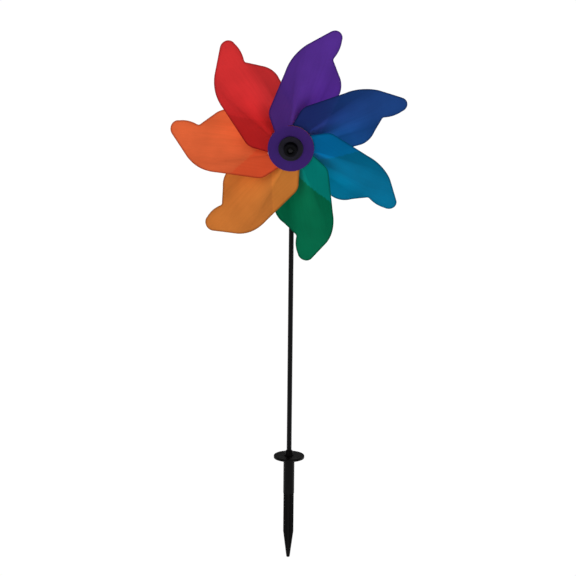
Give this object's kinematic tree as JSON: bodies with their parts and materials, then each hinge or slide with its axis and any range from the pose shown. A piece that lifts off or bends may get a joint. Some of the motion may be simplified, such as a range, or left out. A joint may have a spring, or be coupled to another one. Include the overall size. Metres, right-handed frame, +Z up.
{
  "type": "whirligig",
  "caption": "Garden pinwheel with translucent swept plastic petals on a turning hub, a slim rod and a flanged ground spike.",
  "frame": {"origin": "centre of the spike's flange on its underside, at ground level", "axes": "+Z up along the rod, the wheel faces -Y, +X to the right seen from the front"},
  "size_m": [0.2946, 0.0874, 0.6973],
  "materials": {
    "sheet_purple": "translucent frosted polypropylene sheet",
    "sheet_blue": "translucent frosted polypropylene sheet",
    "sheet_teal": "translucent frosted polypropylene sheet",
    "sheet_green": "translucent frosted polypropylene sheet",
    "sheet_amber": "translucent frosted polypropylene sheet",
    "sheet_orange": "translucent frosted polypropylene sheet",
    "sheet_red": "translucent frosted polypropylene sheet",
    "hub_plastic": "satin moulded black",
    "cap_plastic": "satin moulded charcoal",
    "nylon": "natural",
    "steel": "drawn wire",
    "rod_black": "pultruded fibreglass, semi-gloss",
    "spike_plastic": "satin moulded black"
  },
  "bodies": {
    "stand": {"axle_pin": "steel", "axle_cap": "hub_plastic", "front_washer": "nylon", "rear_washer": "nylon", "axle_nut": "steel", "rod_head": "hub_plastic", "rod": "rod_black", "ground_spike": "spike_plastic"},
    "wheel": {"petal_purple": "sheet_purple", "petal_blue": "sheet_blue", "petal_teal": "sheet_teal", "petal_green": "sheet_green", "petal_amber": "sheet_amber", "petal_orange": "sheet_orange", "petal_red": "sheet_red", "hub_core": "hub_plastic", "front_cap": "cap_plastic", "rear_cap": "cap_plastic", "front_bush": "nylon", "rear_bush": "nylon"}
  },
  "joints": [
    {"name": "wheel_spin", "type": "hinge", "parent": "stand", "child": "wheel", "pos_m": [0, -0.036, 0.4185], "axis": [0, -1, 0], "continuous": true}
  ]
}
